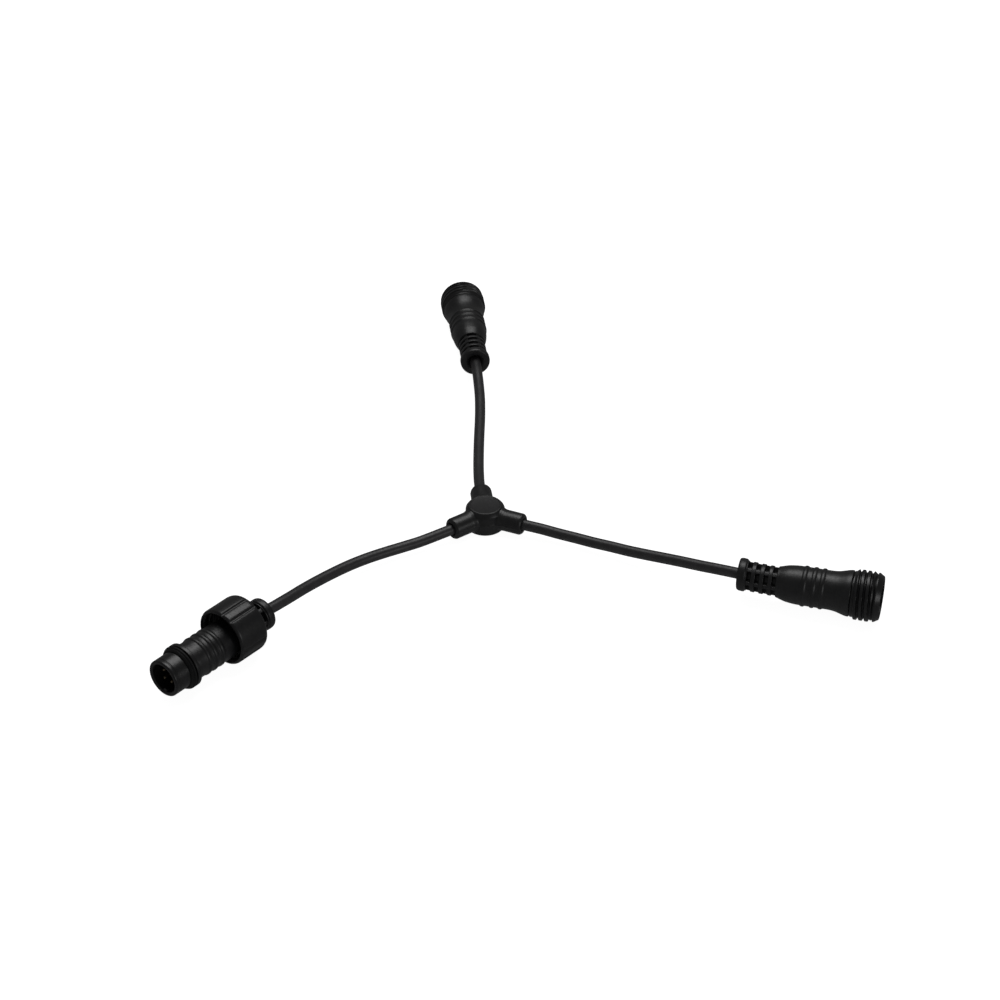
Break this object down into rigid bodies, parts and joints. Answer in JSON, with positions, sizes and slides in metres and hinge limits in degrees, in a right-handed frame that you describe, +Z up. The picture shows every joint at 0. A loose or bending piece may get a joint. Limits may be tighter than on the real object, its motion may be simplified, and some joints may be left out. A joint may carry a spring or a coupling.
{
  "type": "three-way waterproof cable splitter",
  "caption": "Moulded Y-shaped splitter lead with short cables, a pin plug with a loose threaded coupling nut, and threaded sockets for low-voltage lighting.",
  "frame": {"origin": "on the surface that the lead lies on, under the centre of the Y junction's drum", "axes": "+Z up; +Y along the junction outlet that serves socket_b; the other two outlets point 120 degrees to each side"},
  "size_m": [0.2542, 0.2405, 0.0208],
  "materials": {
    "soft_black": "satin moulded PVC, faint mould grain",
    "junction_black": "satin moulded PVC with a smoother top disc",
    "hard_black": "semi-matt moulded nylon",
    "nut_black": "semi-matt moulded nylon with polished lands",
    "seal_black": "matt rubber",
    "cable_jacket": "satin extruded jacket",
    "washer_black": "black acetal",
    "brass": "turned brass, lightly polished",
    "tinned_copper": "tinned and soldered",
    "hub_natural": "natural polyethylene",
    "core_red": "coloured core insulation",
    "core_black": "coloured core insulation",
    "core_blue": "coloured core insulation",
    "core_green": "coloured core insulation"
  },
  "bodies": {
    "root": {"plug_insert": "hard_black", "plug_body": "soft_black", "plug_seal_ring": "seal_black", "plug_pin_1": "brass", "plug_pin_2": "brass", "plug_pin_3": "brass", "plug_pin_4": "brass", "plug_conductor_1": "core_red", "plug_conductor_2": "core_black", "plug_conductor_3": "core_blue", "plug_conductor_4": "core_green", "socket_a_conductor_1": "core_red", "socket_a_conductor_2": "core_black", "socket_a_conductor_3": "core_blue", "socket_a_conductor_4": "core_green", "socket_b_conductor_1": "core_red", "socket_b_conductor_2": "core_black", "socket_b_conductor_3": "core_blue", "socket_b_conductor_4": "core_green", "socket_a_thread_collar": "hard_black", "socket_a_insert": "hard_black", "socket_a_face_seal": "seal_black", "socket_a_body": "soft_black", "socket_a_contact_1": "brass", "socket_a_contact_2": "brass", "socket_a_contact_3": "brass", "socket_a_contact_4": "brass", "socket_b_thread_collar": "hard_black", "socket_b_insert": "hard_black", "socket_b_face_seal": "seal_black", "socket_b_body": "soft_black", "socket_b_contact_1": "brass", "socket_b_contact_2": "brass", "socket_b_contact_3": "brass", "socket_b_contact_4": "brass", "junction_body": "junction_black", "junction_hub": "hub_natural", "splice_1": "tinned_copper", "splice_2": "tinned_copper", "splice_3": "tinned_copper", "splice_4": "tinned_copper", "junction_conductor_plug_1": "core_red", "junction_conductor_plug_2": "core_black", "junction_conductor_plug_3": "core_blue", "junction_conductor_plug_4": "core_green", "junction_conductor_socket_a_1": "core_red", "junction_conductor_socket_a_2": "core_black", "junction_conductor_socket_a_3": "core_blue", "junction_conductor_socket_a_4": "core_green", "junction_conductor_socket_b_1": "core_red", "junction_conductor_socket_b_2": "core_black", "junction_conductor_socket_b_3": "core_blue", "junction_conductor_socket_b_4": "core_green", "cable_plug": "cable_jacket", "cable_socket_a": "cable_jacket", "cable_socket_b": "cable_jacket"},
    "nut_slider": {"nut_slip_washer": "washer_black"},
    "nut": {"coupling_nut": "nut_black"}
  },
  "joints": [
    {"name": "nut_slide", "type": "slide", "parent": "root", "child": "nut_slider", "axis": [-0.7292, -0.6824, -0.0506], "range_m": [-0.006, 0.0237]},
    {"name": "nut_spin", "type": "hinge", "parent": "nut_slider", "child": "nut", "pos_m": [-0.09269, -0.06505, 0.0104], "axis": [-0.7302, -0.6833, 0], "continuous": true}
  ]
}
